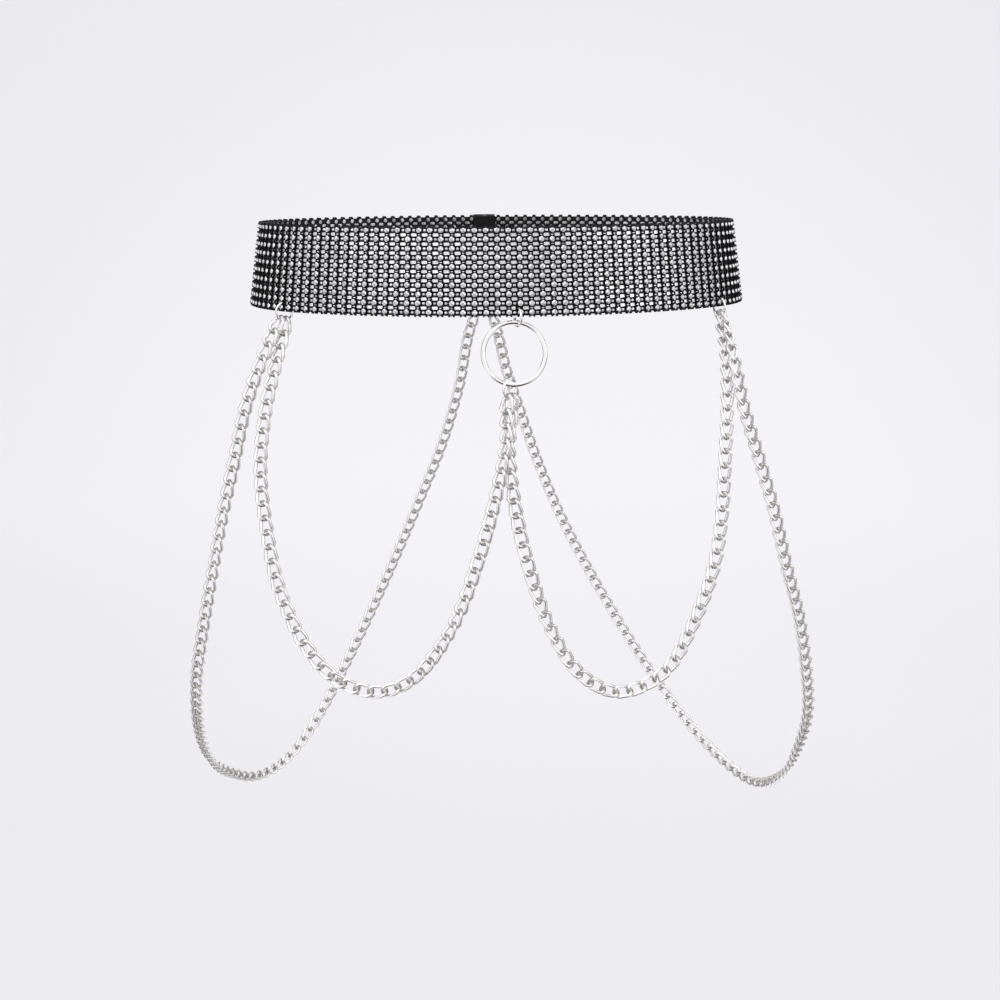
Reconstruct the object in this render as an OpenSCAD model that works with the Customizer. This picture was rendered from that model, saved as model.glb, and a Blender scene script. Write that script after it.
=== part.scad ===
// Waist chain: a wide band of stone-set mesh worn round the waist, with a round ring hanging from its
// front, two short chain swags in front and two long ones over the hips to the middle of the back.
// Millimetres. +Z is up, the front looks along -Y, and the origin is the centre of the band at half
// its height. Left and right are as seen from the front.

/* [Band] */
// Width of the band from hip to hip, outside, at half its height
band_w = 246; // [230:1:262]
// Depth of the band from front to back, outside, at half its height
band_d = 172; // [162:1:184]
// Radius of the band's tighter curves over the hips, outside, at half its height
hip_r = 67.5; // [62:0.5:74]
// Slope of the band's wall, which is wider at the bottom, in degrees
band_slope = 8.2; // [0:0.1:12]
// Number of rows of stones
row_count = 10; // [8:1:12]
// Distance from one row of stones to the next
row_pitch = 4.1; // [3.8:0.1:4.4]
// Height of a row's cups where they stand on the mesh
cup_w = 3.3; // [2.9:0.1:3.6]
// Height of the stones' faces on top of the cups
stone_w = 2.5; // [2:0.1:2.8]
// Thickness of the mesh between the rows
mesh_t = 1.6; // [1.2:0.1:2]
// Height of the cups and stones above the mesh
cup_h = 1.4; // [1:0.1:1.8]
// Gap between two stretches of the band, where a seam rib inside the mesh joins them
seam_gap = 0.2; // [0.1:0.05:0.3]
// Width of the seam ribs along the band
seam_w = 1.4; // [1:0.1:2]
// Depth at which the seam ribs lie inside the mesh
seam_in = 0.2; // [0.15:0.05:0.3]
// Clear hole in the mesh round a jump ring
mesh_hole_d = 3.6; // [3.4:0.1:4]

/* [Back clasp] */
// Thickness of the clasp's inner and outer plates
plate_t = 1.2; // [1:0.1:1.6]
// Width of the plates along the band
plate_w = 12; // [10:0.5:16]
// Thickness of the web between the two ends of the band
web_t = 2; // [1.6:0.1:2.6]
// Running clearance between the clasp and the band
clasp_gap = 0.3; // [0.2:0.05:0.4]
// Radius of the rounded tab below the clasp
tab_r = 2.6; // [2.4:0.1:3]
// Hole through the tab
tab_hole_d = 2; // [1.8:0.1:2.4]

/* [Rings] */
// Outer diameter of the big front ring
o_ring_d = 30.6; // [28:0.2:34]
// Wire of the big front ring
o_ring_wire = 2.2; // [2:0.1:2.6]
// Forward lean of the big front ring as it lies on the belly, in degrees
o_ring_lean = 8; // [0:1:12]
// Shift of the big ring's highest point from the front jump ring, in degrees round the big ring
o_ring_shift = 8; // [0:1:12]
// Outer diameter of the jump rings
jump_d = 9.6; // [9.4:0.1:10.4]
// Wire of the jump rings
jump_wire = 1.1; // [1:0.05:1.2]
// Place of the front jump ring round the front curve, from its middle to the right, in degrees
front_place = 0.4; // [0:0.1:1]
// Place of the left side jump ring on its hip curve, from straight sideways, in degrees
left_place = 42; // [40:1:50]
// Place of the right side jump ring on its hip curve, from straight sideways, in degrees
right_place = 45; // [40:1:50]
// Turn of the front jump ring from square to the band, in degrees
front_turn = 14; // [0:1:24]
// Turn of the lower jump ring from the plane of the big ring, in degrees
lower_turn = 42; // [40:1:70]
// Shift of the lower jump ring round the big ring from its lowest point, in degrees
lower_shift = 9; // [0:1:12]
// Turn of the left side jump ring from square to the band, in degrees
left_turn = -10; // [-20:1:20]
// Turn of the right side jump ring from square to the band, in degrees
right_turn = -20; // [-20:1:20]

/* [Chain] */
// Distance from one link to the next
link_pitch = 7; // [6.6:0.1:7.6]
// Outer width of a link
link_w = 7; // [6.6:0.1:7.4]
// Wire of the links
link_wire = 1.6; // [1.3:0.05:1.7]
// Thickness of the long chains over the hips, across their flat faces
chain_t = 4.2; // [3.6:0.1:4.6]
// Twist from the middle of a link to each end, in degrees
link_twist = 42; // [35:1:45]
// Play between two hooked links
link_play = 0.25; // [0.2:0.05:0.4]
// Gap between a ring and what hangs in it
hook_gap = 0.25; // [0.2:0.01:0.3]

/* [Hidden] */

black = [0.13, 0.13, 0.14];
silver = [0.84, 0.84, 0.86];

// The band's outline is an oval of four arcs: two over the hips, one in front and one behind.
half_w = band_w / 2;
half_d = band_d / 2;
hip_x = half_w - hip_r;
flat_r = (half_w * half_w + half_d * half_d - 2 * half_w * hip_r) / (2 * (half_d - hip_r));
flat_y = flat_r - half_d;
meet = atan2(flat_y, hip_x);
band_h = row_count * row_pitch;
band_t = mesh_t + cup_h;
end_gap = web_t / 2 + clasp_gap;
arc_fn = 180;

// Jump rings pass through the band one row above its lower edge.
hole_up = row_pitch - band_h / 2;
jump_r = (jump_d - jump_wire) / 2;
o_r = (o_ring_d - o_ring_wire) / 2;
ring_fn = 72;
wire_fn = 32;

link_half_w = (link_w - link_wire) / 2;
link_half_l = (link_pitch + link_wire + link_play) / 2;
link_bend = link_half_l - link_half_w;
// A chain starts where its first link's wire lies against the ring's wire.
chain_start = jump_r - (jump_wire + link_wire) / 2 - hook_gap + (link_wire + link_play) / 2;

down = [0, 0, -1];
function unit(v) = v / norm(v);
function level(a) = [cos(a), sin(a), 0];

// A point of the wall: out is the direction in which the wall faces there, r its outer radius about the
// arc's centre c, in how far behind the outer face, and up how far above half height along the slope.
function wall_point(c, r, out, in, up) =
    c + level(out) * (r - in * cos(band_slope) - up * sin(band_slope))
    + [0, 0, up * cos(band_slope) - in * sin(band_slope)];
function hang(hole) = hole + down * jump_r;

front_hole = wall_point([0, flat_y, 0], flat_r, -90 + front_place, band_t / 2, hole_up);
left_hole = wall_point([-hip_x, 0, 0], hip_r, 180 + left_place, band_t / 2, hole_up);
right_hole = wall_point([hip_x, 0, 0], hip_r, -right_place, band_t / 2, hole_up);
tab_hole = wall_point([0, -flat_y, 0], flat_r, 90, band_t / 2, -band_h / 2 - tab_r);

front_ring_dir = -90 + front_place + front_turn;
left_ring_dir = 180 + left_place + left_turn;
right_ring_dir = -right_place + right_turn;
back_ring_dir = 0;
lower_ring_dir = lower_turn;

front_ring_at = hang(front_hole);
left_ring_at = hang(left_hole);
right_ring_at = hang(right_hole);
back_ring_at = hang(tab_hole);
// The big ring hangs in the front jump ring, a little to the left, and the lower jump ring in the big ring.
ring_drop = jump_r - (jump_wire + o_ring_wire) / 2 - hook_gap;
o_ring_down = [0, -sin(o_ring_lean), -cos(o_ring_lean)];
function round_o_ring(side) = (o_ring_down * cos(side) + [1, 0, 0] * sin(side)) * o_r;
o_ring_at = front_ring_at + down * ring_drop + round_o_ring(-o_ring_shift);
lower_ring_at = o_ring_at + round_o_ring(-lower_shift) + down * (ring_drop - hook_gap);

// Chosen points of each chain between its two rings: x, y, z, and the turn of its flat face from facing
// straight out of the body, in degrees. The first and last turn are those at the rings.
front_left_way = [
    [-110, -54, -42, 15], [-116, -61, -66, 22], [-119, -67, -93, 22], [-117, -72, -120, 20],
    [-112, -79, -147, 18], [-101, -87, -172, 14], [-86, -93, -189, 20], [-66, -99, -194, 30],
    [-47, -103, -184, 10], [-30, -104, -159, 42], [-19, -103, -130, 5], [-11, -102, -102, 30],
    [-6, -101, -77, 50]];
front_right_way = [
    [105, -59, -43, -5], [104, -69, -66, -20], [102, -76, -92, -28], [100, -81, -118, -28],
    [95, -87, -143, -22], [84, -93, -169, -12], [70, -99, -189, -20], [48, -103, -197, -32],
    [28, -105, -186, -5], [14, -105, -163, -34], [4, -103, -133, -5], [-2, -100, -104, 30],
    [-4, -96, -78, 50]];
back_left_way = [
    [-117, -54, -42, 15], [-126, -54, -66, 20], [-132, -54, -90, 25], [-139, -53, -117, 12],
    [-145, -52, -144, 12], [-151, -50, -172, 25], [-157, -43, -202, 35], [-160, -29, -230, 45],
    [-161, -8, -254, 50], [-159, 16, -276, 40], [-152, 42, -294, 15], [-140, 66, -307, 0],
    [-124, 88, -307, 0], [-106, 106, -290, 0], [-88, 117, -260, 0], [-70, 122, -225, 0],
    [-53, 122, -188, 0], [-38, 118, -152, 0], [-24, 111, -116, 0], [-14, 102, -80, 0],
    [-9, 94, -50, 20]];
back_right_way = [
    [107, -67, -43, 0], [113, -67, -68, -15], [122, -64, -93, -25], [131, -63, -120, -30],
    [139, -60, -148, -35], [149, -54, -178, -40], [156, -48, -208, -45], [162, -37, -238, -50],
    [164, -18, -266, -55], [164, 8, -294, -40], [158, 38, -313, -15], [147, 66, -313, 0],
    [131, 90, -299, 0], [111, 108, -273, 0], [90, 118, -240, 0], [70, 122, -205, 0],
    [51, 121, -168, 0], [35, 116, -130, 0], [23, 109, -96, 0], [14, 101, -70, 0],
    [9, 94, -50, 20]];
way_steps = 12;

// Direction of a chain at a ring: angle side from straight down, in the ring's plane.
function ring_dir(dir, side) = down * cos(side) + level(dir) * sin(side);
function at_turn(p, turn) = [p.x, p.y, p.z, turn];

// Whole way of a chain: an end point at each ring, and one more beyond it that sets the direction there.
function whole_way(way, ring_a, dir_a, turn_a, ring_b, dir_b, turn_b) =
    let (a = ring_a + dir_a * chain_start, b = ring_b + dir_b * chain_start)
    concat([at_turn(a - dir_a * 20, turn_a), at_turn(a, turn_a)], way,
        [at_turn(b, turn_b), at_turn(b - dir_b * 20, turn_b)]);

// Smooth curve through four points in a row, between the middle two, t from 0 to 1.
function curve(a, b, c, d, t) =
    b + (c - a) * t / 2 + (2 * a - 5 * b + 4 * c - d) * t * t / 2 + (3 * b - a - 3 * c + d) * t * t * t / 2;
function fine_way(way) = concat(
    [for (i = [1:len(way) - 3], k = [0:way_steps - 1])
        curve(way[i - 1], way[i], way[i + 1], way[i + 2], k / way_steps)],
    [way[len(way) - 2]]);
function place(p) = [p.x, p.y, p.z];
function runs(fine) = [for (i = 0, s = 0; i < len(fine);
    s = s + (i + 1 < len(fine) ? norm(place(fine[i + 1]) - place(fine[i])) : 0), i = i + 1) s];
function column(fine, run, k) = [for (i = [0:len(fine) - 1]) [run[i], fine[i][k]]];
function columns(fine) = let (run = runs(fine)) [for (k = [0:3]) column(fine, run, k)];
function length_of(table) = table[0][len(table[0]) - 1][0];
function spot(table, s) = [for (k = [0:2]) lookup(s, table[k])];
// Frame at distance s: centre, along, across and out.
function frame_at(table, s, reach) =
    let (a = spot(table, s - reach), b = spot(table, s + reach), along = unit(b - a), mid = (a + b) / 2,
        away = unit([mid.x / (half_w * half_w), mid.y / (half_d * half_d), 0]),
        out = unit(away - along * (away * along)), across = cross(along, out), turn = lookup(s, table[3]))
    [mid, along, across * cos(turn) + out * sin(turn), out * cos(turn) - across * sin(turn)];

// Middle line of a link's wire at step k of 12: two half circles joined by straight sides, twisted about
// the link's length.
link_steps = 12;
wire_sides = 5;
function link_line(k) =
    let (half = link_steps / 2, near = k < half, a = ((near ? k : k - half) + 0.5) * 180 / half - 90,
        x = (link_bend + link_half_w * cos(a)) * (near ? 1 : -1), y = link_half_w * sin(a) * (near ? 1 : -1),
        twist = link_twist * x / link_half_l)
    [x, y * cos(twist), y * sin(twist)];
function link_point(k, j) =
    let (n = link_steps, c = link_line(k % n), along = unit(link_line((k + 1) % n) - link_line((k + n - 1) % n)),
        out = unit(c - along * (c * along)), up = cross(along, out), a = (j + 0.5) * 360 / wire_sides)
    c + (out * cos(a) + up * sin(a)) * link_wire / 2;
link_points = [for (k = [0:link_steps - 1], j = [0:wire_sides - 1]) link_point(k, j)];
function ring_faces(rings, sides, closed) =
    [for (k = [0:rings - (closed ? 1 : 2)], j = [0:sides - 1])
        let (k2 = (k + 1) % rings, j2 = (j + 1) % sides)
            each [[k * sides + j, k2 * sides + j2, k2 * sides + j],
                [k * sides + j, k * sides + j2, k2 * sides + j2]]];
link_faces = ring_faces(link_steps, wire_sides, true);

module link(f) {
    polyhedron([for (p = link_points) f[0] + f[1] * p.x + f[2] * p.y + f[3] * p.z], link_faces);
}

module linked_chain(way) {
    table = columns(fine_way(way));
    run = length_of(table);
    count = ceil(run / link_pitch);
    step = run / count;
    for (i = [0:count - 1]) link(frame_at(table, (i + 0.5) * step, step / 2));
}

// A long chain as one closed strand of its outer size, narrowed where it ends just clear of its rings.
strand_sides = 8;
strand_pitch = 17;
strand_taper = 0.4;
strand_end = jump_r + jump_wire / 2 + 2 * hook_gap - chain_start;
module strand(way) {
    table = columns(fine_way(way));
    run = length_of(table);
    count = ceil((run - 2 * strand_end) / strand_pitch);
    step = (run - 2 * strand_end) / count;
    frames = [for (i = [0:count]) frame_at(table, strand_end + i * step, strand_end / 2)];
    sides = strand_sides;
    points = [for (i = [0:count], j = [0:sides - 1])
        let (f = frames[i], a = (j + 0.5) * 360 / sides, k = (i == 0 || i == count ? strand_taper : 1) / 2)
            f[0] + f[2] * cos(a) * k * link_w + f[3] * sin(a) * k * chain_t];
    caps = [[for (j = [sides - 1:-1:0]) j], [for (j = [0:sides - 1]) count * sides + j]];
    polyhedron(points, concat(ring_faces(count + 1, sides, false), caps));
}

module wire_ring(r, wire) {
    rotate_extrude($fn = ring_fn) translate([r, 0]) circle(d = wire, $fn = wire_fn);
}

// A jump ring in the upright plane that points along dir.
module jump_ring(at, dir) {
    color(silver) translate(at) rotate([90, 0, dir]) wire_ring(jump_r, jump_wire);
}

// Section of the band: smooth inside, a row of cups outside for each row of stones.
module band_section() {
    polygon(concat([[-band_t, -band_h / 2], [-cup_h, -band_h / 2]],
        [for (i = [0:row_count - 1], e = [-1, 1], s = [0, 1])
            let (y = (i + 0.5) * row_pitch - band_h / 2, outer = e < 0 ? s : 1 - s)
                [outer ? 0 : -cup_h, y + e * (outer ? stone_w : cup_w) / 2]],
        [[-cup_h, band_h / 2], [-band_t, band_h / 2]]));
}

// A stretch of wall round centre c at outer radius r, between two directions, short of them by the gaps.
function gap_turn(r, gap) = asin(gap / (r - band_t));
module wall(c, r, from, to, gap_a, gap_b) {
    a = from + gap_turn(r, gap_a);
    b = to - gap_turn(r, gap_b);
    translate(c) rotate([0, 0, a]) rotate_extrude(angle = b - a, $fn = arc_fn)
        translate([r, 0]) rotate(band_slope) band_section();
}

// A rib inside the mesh across the seam between a hip curve and a flat curve.
module seam(out) {
    at_wall(wall_point([hip_x, 0, 0], hip_r, out, band_t - mesh_t / 2, 0), out)
        cube([mesh_t - 2 * seam_in, seam_w, band_h - 2 * seam_in], center = true);
}

// Upright or sloping bar along the band's wall at direction out, for holes and for the clasp.
module at_wall(point, out) {
    translate(point) rotate([0, -band_slope, out]) children();
}

module mesh_hole(hole, out) {
    at_wall(hole, out) rotate([0, 90, 0]) cylinder(d = mesh_hole_d, h = 2 * band_t, center = true, $fn = 48);
}

module band() {
    color(black) difference() {
        union() {
            wall([0, flat_y, 0], flat_r, meet - 180, -meet, seam_gap / 2, seam_gap / 2);
            for (side = [0, 1]) mirror([side, 0, 0]) {
                wall([hip_x, 0, 0], hip_r, -meet, meet, seam_gap / 2, seam_gap / 2);
                wall([0, -flat_y, 0], flat_r, meet, 90, seam_gap / 2, end_gap);
                seam(-meet);
                seam(meet);
            }
        }
        mesh_hole(front_hole, -90 + front_place);
        mesh_hole(left_hole, 180 + left_place);
        mesh_hole(right_hole, -right_place);
    }
}

// A plain bar with a channel for each end of the band, and a tab below for the back jump ring.
module back_clasp() {
    plate_out = band_t / 2 + clasp_gap + plate_t / 2;
    color(black) at_wall(wall_point([0, -flat_y, 0], flat_r, 90, band_t / 2, 0), 90) difference() {
        union() {
            cube([2 * plate_out, web_t, band_h], center = true);
            for (side = [-1, 1]) translate([side * plate_out, 0, 0])
                cube([plate_t, plate_w, band_h], center = true);
            translate([0, 0, -band_h / 2 - tab_r / 2]) cube([2 * tab_r, web_t, tab_r], center = true);
            translate([0, 0, -band_h / 2 - tab_r]) rotate([90, 0, 0])
                cylinder(r = tab_r, h = web_t, center = true, $fn = 48);
        }
        translate([0, 0, -band_h / 2 - tab_r]) rotate([90, 0, 0])
            cylinder(d = tab_hole_d, h = 2 * web_t, center = true, $fn = 48);
    }
}

module o_ring() {
    color(silver) translate(o_ring_at) rotate([90 - o_ring_lean, 0, 0]) wire_ring(o_r, o_ring_wire);
}

module front_jump_ring() { jump_ring(front_ring_at, front_ring_dir); }
module lower_jump_ring() { jump_ring(lower_ring_at, lower_ring_dir); }
module side_jump_ring_left() { jump_ring(left_ring_at, left_ring_dir); }
module side_jump_ring_right() { jump_ring(right_ring_at, right_ring_dir); }
module back_jump_ring() { jump_ring(back_ring_at, back_ring_dir); }

module front_chain_left() {
    color(silver) linked_chain(whole_way(front_left_way,
        left_ring_at, ring_dir(left_ring_dir, -10), 32, lower_ring_at, ring_dir(lower_ring_dir, -26), 30));
}
module front_chain_right() {
    color(silver) linked_chain(whole_way(front_right_way,
        right_ring_at, ring_dir(right_ring_dir, -6), 22, lower_ring_at, ring_dir(lower_ring_dir, 24), 2));
}
module back_chain_left() {
    color(silver) strand(whole_way(back_left_way,
        left_ring_at, ring_dir(left_ring_dir, 38), 32, back_ring_at, ring_dir(back_ring_dir, -34), 48));
}
module back_chain_right() {
    color(silver) strand(whole_way(back_right_way,
        right_ring_at, ring_dir(right_ring_dir, 42), 22, back_ring_at, ring_dir(back_ring_dir, 34), 48));
}

band();
back_clasp();
o_ring();
front_jump_ring();
lower_jump_ring();
side_jump_ring_left();
side_jump_ring_right();
back_jump_ring();
front_chain_left();
front_chain_right();
back_chain_left();
back_chain_right();
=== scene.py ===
import math
import bpy
import numpy as np
from mathutils import Matrix


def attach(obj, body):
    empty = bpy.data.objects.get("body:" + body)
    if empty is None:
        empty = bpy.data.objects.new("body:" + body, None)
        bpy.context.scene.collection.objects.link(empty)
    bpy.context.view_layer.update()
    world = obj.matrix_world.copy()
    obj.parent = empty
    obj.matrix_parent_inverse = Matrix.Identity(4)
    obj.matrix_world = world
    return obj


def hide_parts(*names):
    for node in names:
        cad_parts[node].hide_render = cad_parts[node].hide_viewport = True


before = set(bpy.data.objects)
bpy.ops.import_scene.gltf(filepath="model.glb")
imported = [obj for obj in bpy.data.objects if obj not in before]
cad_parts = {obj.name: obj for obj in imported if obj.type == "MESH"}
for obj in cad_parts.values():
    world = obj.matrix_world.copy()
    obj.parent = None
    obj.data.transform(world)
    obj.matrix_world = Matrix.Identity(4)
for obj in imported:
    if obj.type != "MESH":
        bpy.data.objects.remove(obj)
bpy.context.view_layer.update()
mm = 0.001
rng = np.random.default_rng(11)
print("frame loaded")


# A shape is a dictionary: its points, the corner numbers of all faces in a row, and each face's corner count.
def makeShape(points, faces):
    return {"points": np.array(points, float),
            "corners": np.concatenate([np.asarray(f).ravel() for f in faces]).astype(np.int64),
            "sizes": np.concatenate([np.full(len(f), np.shape(f)[1]) for f in faces]).astype(np.int64)}


# Several shapes as one, each one's corner numbers moved up by the points before it.
def joinShapes(shapes):
    start = np.cumsum([0] + [len(s["points"]) for s in shapes[:-1]])
    return {"points": np.concatenate([s["points"] for s in shapes]),
            "corners": np.concatenate([s["corners"] + n for s, n in zip(shapes, start)]),
            "sizes": np.concatenate([s["sizes"] for s in shapes])}


# Quads of a grid of rows by columns points: each point with its neighbours in the next column and row,
# wrapping round where a direction is closed.
def gridFaces(rows, columns, closedRows, closedColumns):
    r = np.arange(rows if closedRows else rows - 1)[:, None]
    c = np.arange(columns if closedColumns else columns - 1)[None, :]
    r2, c2 = (r + 1) % rows, (c + 1) % columns
    quad = [r * columns + c, r * columns + c2, r2 * columns + c2, r2 * columns + c]
    return np.stack(np.broadcast_arrays(*quad), -1).reshape(-1, 4)


# An object with its place in its mesh: points in millimetres, one number and one local place kept per point,
# and if asked one random number per face.
def makePiece(name, shape, material, smooth=None, tone=None, local=None, glint=False):
    mesh = bpy.data.meshes.new(name)
    mesh.vertices.add(len(shape["points"]))
    mesh.vertices.foreach_set("co", (shape["points"] * mm).ravel())
    mesh.loops.add(len(shape["corners"]))
    mesh.loops.foreach_set("vertex_index", shape["corners"].astype(np.int32))
    mesh.polygons.add(len(shape["sizes"]))
    starts = np.cumsum(shape["sizes"]) - shape["sizes"]
    mesh.polygons.foreach_set("loop_start", starts.astype(np.int32))
    mesh.update(calc_edges=True)
    mesh.validate()
    mesh.polygons.foreach_set("use_smooth", np.full(len(mesh.polygons), smooth is not None))
    if smooth:
        mesh.set_sharp_from_angle(angle=math.radians(smooth))
    if tone is not None:
        mesh.attributes.new("tone", "FLOAT", "POINT").data.foreach_set("value", tone.astype(np.float32))
    if local is not None:
        store = mesh.attributes.new("local", "FLOAT_VECTOR", "POINT")
        store.data.foreach_set("vector", local.astype(np.float32).ravel())
    if glint:
        store = mesh.attributes.new("glint", "FLOAT", "FACE")
        store.data.foreach_set("value", rng.random(len(mesh.polygons)).astype(np.float32))
    mesh.materials.append(material)
    piece = bpy.data.objects.new(name, mesh)
    bpy.context.collection.objects.link(piece)
    return piece


# Many copies of one shape, each set in its own axes: origin + x * across + y * up + z * out.
def copyShape(shape, origins, axes):
    count, size = len(origins), len(shape["points"])
    points = origins[:, None, :] + np.einsum("pk,nkc->npc", shape["points"], axes)
    corners = (shape["corners"][None, :] + size * np.arange(count)[:, None]).ravel()
    return {"points": points.reshape(-1, 3), "corners": corners, "sizes": np.tile(shape["sizes"], count)}


# A piece made of copies, which remembers each copy's tone and its own unturned place.
def makeCopies(name, shape, origins, axes, material, smooth=None, tone=None, glint=False):
    count = len(origins)
    each = np.repeat(rng.random(count) if tone is None else tone, len(shape["points"]))
    return makePiece(name, copyShape(shape, origins, axes), material, smooth, each,
                     np.tile(shape["points"], (count, 1)), glint)


# An outline between an oval and a rectangle, of half width and half height 1, as a power curve:
# x = |cos t|^(2/p), y = |sin t|^(2/p), with the signs of cos and sin. A power of 2 gives an oval.
def roundedOutline(sides, power):
    turn = (np.arange(sides) + 0.5) * 2 * np.pi / sides
    c, s = np.cos(turn), np.sin(turn)
    return np.stack([np.sign(c) * np.abs(c) ** (2 / power), np.sign(s) * np.abs(s) ** (2 / power)], 1)


# A closed button: such outlines stacked upwards. Each ring is (half width, half height, z).
def buttonShape(rings, sides, power):
    outline = roundedOutline(sides, power)
    points = np.concatenate([np.column_stack([outline * [a, b], np.full(sides, z)]) for a, b, z in rings])
    bottom, top = np.arange(sides)[::-1], (len(rings) - 1) * sides + np.arange(sides)
    return makeShape(points, [gridFaces(len(rings), sides, False, True), bottom[None], top[None]])


# A closed frame: a small profile carried round the same outline. Each profile point is (outset, z) from the
# outline of half width a and half height b.
def frameShape(a, b, profile, sides, power):
    outline = roundedOutline(sides, power)
    rings = [np.column_stack([outline * [a + d, b + d], np.full(sides, z)]) for d, z in profile]
    return makeShape(np.concatenate(rings), [gridFaces(len(profile), sides, True, True)])


# The band round the waist: its outline, its rows and columns, its wall and the holes for three jump rings.
band = {
    "width": 246, "depth": 172, "hipRadius": 67.5, "slope": 8.2, "rows": 10, "rowPitch": 4.1,
    "columnPitch": 5.173, "firstGap": -0.35, "columns": 126, "wallOuter": 1.95, "wallInner": 2.85,
    "wallEdge": 19.8, "wallBevel": 0.3, "wallSteps": 400, "endAt": 329.8, "holeDepth": 1.5,
    "frontHole": 0.4, "leftHole": 42, "rightHole": 45}

halfWidth, halfDepth = band["width"] / 2, band["depth"] / 2
hipRadius = band["hipRadius"]
hipX = halfWidth - hipRadius
flatRadius = (halfWidth ** 2 + halfDepth ** 2 - 2 * halfWidth * hipRadius) / (2 * (halfDepth - hipRadius))
flatY = flatRadius - halfDepth
meet = math.degrees(math.atan2(flatY, hipX))
slopeCos, slopeSin = math.cos(math.radians(band["slope"])), math.sin(math.radians(band["slope"]))
bandHeight = band["rows"] * band["rowPitch"]

# Where the five arcs of the outline end, as runs from the front's middle, and which way the wall faces there.
flatRun, hipRun = flatRadius * math.radians(90 - meet), hipRadius * math.radians(2 * meet)
wallRuns = np.array([-2 * flatRun - hipRun, -flatRun - hipRun, -flatRun,
                     flatRun, flatRun + hipRun, 2 * flatRun + hipRun])
wallTurns = np.array([-270, -180 - meet, meet - 180, -meet, meet, 90])
arcCentres = np.array([[0, -flatY, 0], [-hipX, 0, 0], [0, flatY, 0], [hipX, 0, 0], [0, -flatY, 0]])
arcRadii = np.array([flatRadius, hipRadius, flatRadius, hipRadius, flatRadius])


# Places on the wall and the three axes there. run goes round the outline from the front's middle to the
# right, up climbs the slope from half height, and deep goes in from the stones' faces. The facing turns at an
# even rate along each arc, and a point is its arc's centre plus the facing times what is left of the radius.
def onWall(run, up, deep):
    run, up, deep = (np.asarray(v, float).ravel() for v in np.broadcast_arrays(run, up, deep))
    facing = np.radians(np.interp(run, wallRuns, wallTurns))
    arc = np.clip(np.searchsorted(wallRuns, run) - 1, 0, len(arcRadii) - 1)
    out = np.stack([np.cos(facing), np.sin(facing), np.zeros_like(facing)], 1)
    rise = np.array([0.0, 0.0, 1.0])
    reach = arcRadii[arc] - deep * slopeCos - up * slopeSin
    place = arcCentres[arc] + out * reach[:, None] + rise * (up * slopeCos - deep * slopeSin)[:, None]
    normal, upward = out * slopeCos + rise * slopeSin, rise * slopeCos - out * slopeSin
    return place, np.stack([np.cross(upward, normal), upward, normal], 1)


# All crossings of a list of runs with a list of heights.
def crossings(runs, ups):
    r, u = np.meshgrid(runs, ups, indexing="ij")
    return r.ravel(), u.ravel()


holeFacings = [band["frontHole"] - 90, band["leftHole"] - 180, -band["rightHole"]]
holeRuns = np.interp(holeFacings, wallTurns, wallRuns)
holeUp = band["rowPitch"] - bandHeight / 2


# Keeps what stays clear of the three jump ring holes by a distance along and a distance up.
def clearOfHoles(run, up, along, high):
    near = (np.abs(run[:, None] - holeRuns) < along) & (np.abs(up[:, None] - holeUp) < high)
    return ~near.any(1)


half = band["columns"] // 2
columnRuns = band["firstGap"] + (np.arange(-half, half) + 0.5) * band["columnPitch"]
gapRuns = band["firstGap"] + np.arange(-half, half + 1) * band["columnPitch"]
rowUps = (np.arange(band["rows"]) + 0.5) * band["rowPitch"] - bandHeight / 2
betweenUps = rowUps[:-1] + band["rowPitch"] / 2


# A socket that does its own sums: an operator on two sockets, or on a socket and a number, adds a Math node.
class Socket:
    def __init__(self, graph, socket):
        self.graph, self.socket = graph, socket

    def math(self, operation, first, second):
        return self.graph.node("ShaderNodeMath", {"operation": operation}, {0: first, 1: second})

    def __add__(self, other):
        return self.math("ADD", self, other)

    def __radd__(self, other):
        return self.math("ADD", other, self)

    def __mul__(self, other):
        return self.math("MULTIPLY", self, other)

    def __rmul__(self, other):
        return self.math("MULTIPLY", other, self)

    def __gt__(self, other):
        return self.math("GREATER_THAN", self, other)

    def sine(self):
        return self.graph.node("ShaderNodeMath", {"operation": "SINE"}, {0: self})


class Graph:
    def __init__(self, tree):
        self.tree = tree
        tree.nodes.clear()

    # A node: its type, then its settings, then the values or links of its sockets.
    def node(self, kind, settings=None, sockets=None, output=0):
        new = self.tree.nodes.new(kind)
        for key, value in (settings or {}).items():
            setattr(new, key, value)
        for key, value in (sockets or {}).items():
            if isinstance(value, Socket):
                self.tree.links.new(value.socket, new.inputs[key])
            else:
                new.inputs[key].default_value = value
        return Socket(self, new.outputs[output]) if new.outputs else None

    def mixColour(self, factor, a, b):
        return self.node("ShaderNodeMix", {"data_type": "RGBA"}, {0: factor, 6: a, 7: b}, 2)

    # What makePiece stored: output 1 is a vector, output 2 a number.
    def attribute(self, name, output):
        return self.node("ShaderNodeAttribute", {"attribute_name": name}, None, output)

    # The place in the object, in metres.
    def objectPlace(self):
        return self.node("ShaderNodeTexCoord", None, None, 3)

    def noise(self, place, scale, detail):
        return self.node("ShaderNodeTexNoise", None, {"Vector": place, "Scale": scale, "Detail": detail})

    # One part of a vector: output 0, 1 or 2 is x, y or z.
    def parts(self, vector, output):
        return self.node("ShaderNodeSeparateXYZ", None, {0: vector}, output)

    def bump(self, height, strength, depth):
        return self.node("ShaderNodeBump", None, {"Strength": strength, "Distance": depth, "Height": height})

    # A soft step: from a to b while the value goes from start to end.
    def softStep(self, value, start, end, a, b):
        return self.node("ShaderNodeMapRange", {"interpolation_type": "SMOOTHSTEP"},
                         {0: value, 1: start, 2: end, 3: a, 4: b})

    def surface(self, sockets):
        return self.node("ShaderNodeBsdfPrincipled", None, sockets)


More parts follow.
